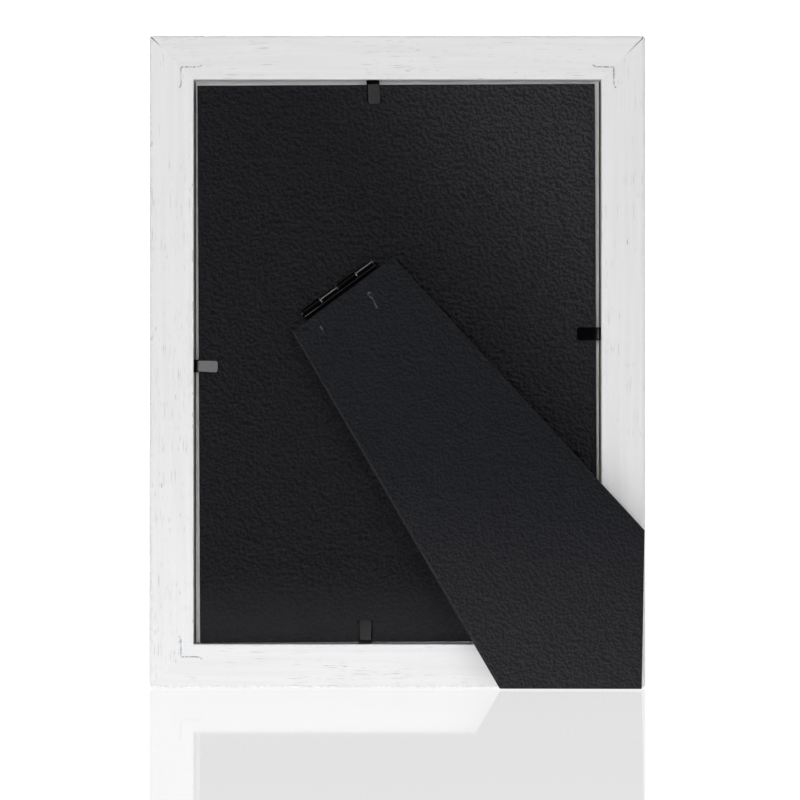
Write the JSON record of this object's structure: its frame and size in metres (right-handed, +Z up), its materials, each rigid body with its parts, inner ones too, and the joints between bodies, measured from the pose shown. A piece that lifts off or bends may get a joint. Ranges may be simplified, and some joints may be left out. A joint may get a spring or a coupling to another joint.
{
  "type": "picture frame",
  "caption": "Upright wooden picture frame with mitred rails, a glazed front, a black backboard held by bendable steel tabs and a hinged easel strut for portrait or landscape display.",
  "frame": {"origin": "middle of the bottom rail's resting face", "axes": "+Z up, -Y out of the back where the strut is, +Y out of the picture side, +X to the right as seen from behind"},
  "size_m": [0.158, 0.0252, 0.208],
  "materials": {
    "white_wood": "thin matt white paint on open-pored wood, rubbed through at the edges",
    "nail_steel": "bare strip steel, painted over at the wood's surface",
    "picture_glass": "clear float glass",
    "plain_card": "plain uncoated white card",
    "pebbled_black": "dense board faced with black pebbled paper",
    "strut_black": "dense board faced with finely grained black paper",
    "black_steel": "thin black lacquer on sheet steel, half gloss"
  },
  "bodies": {
    "frame": {"bottom_rail": "white_wood", "left_rail": "white_wood", "top_rail": "white_wood", "right_rail": "white_wood", "bottom_left_corner_nail": "nail_steel", "top_left_corner_nail": "nail_steel", "top_right_corner_nail": "nail_steel", "bottom_right_corner_nail": "nail_steel", "picture_glass": "picture_glass", "picture_insert": "plain_card", "backboard": "pebbled_black", "bottom_tab_point": "black_steel", "left_tab_point": "black_steel", "top_tab_point": "black_steel", "right_tab_point": "black_steel", "board_hinge_leaf": "black_steel", "hinge_pin": "black_steel"},
    "strut": {"strut": "strut_black", "strut_hinge_leaf": "black_steel"},
    "bottom_tab": {"bottom_tab_flap": "black_steel"},
    "left_tab": {"left_tab_flap": "black_steel"},
    "top_tab": {"top_tab_flap": "black_steel"},
    "right_tab": {"right_tab_flap": "black_steel"}
  },
  "joints": [
    {"name": "strut_swing", "type": "hinge", "parent": "frame", "child": "strut", "pos_m": [-0.01895, -0.00553, 0.1275], "axis": [-0.8049, 0, -0.5934], "range_deg": [-2.5, 27]},
    {"name": "bottom_tab_bend", "type": "hinge", "parent": "frame", "child": "bottom_tab", "pos_m": [-0.0103, -0.00505, 0.015], "axis": [1, 0, -0.0087], "range_deg": [0, 90]},
    {"name": "left_tab_bend", "type": "hinge", "parent": "frame", "child": "left_tab", "pos_m": [-0.064, -0.00505, 0.1027], "axis": [-0.0349, 0, -0.9994], "range_deg": [0, 90]},
    {"name": "top_tab_bend", "type": "hinge", "parent": "frame", "child": "top_tab", "pos_m": [-0.0078, -0.00505, 0.193], "axis": [-0.9976, 0, -0.0698], "range_deg": [0, 90]},
    {"name": "right_tab_bend", "type": "hinge", "parent": "frame", "child": "right_tab", "pos_m": [0.064, -0.00505, 0.113], "axis": [-0.0087, 0, 1], "range_deg": [0, 90]}
  ]
}
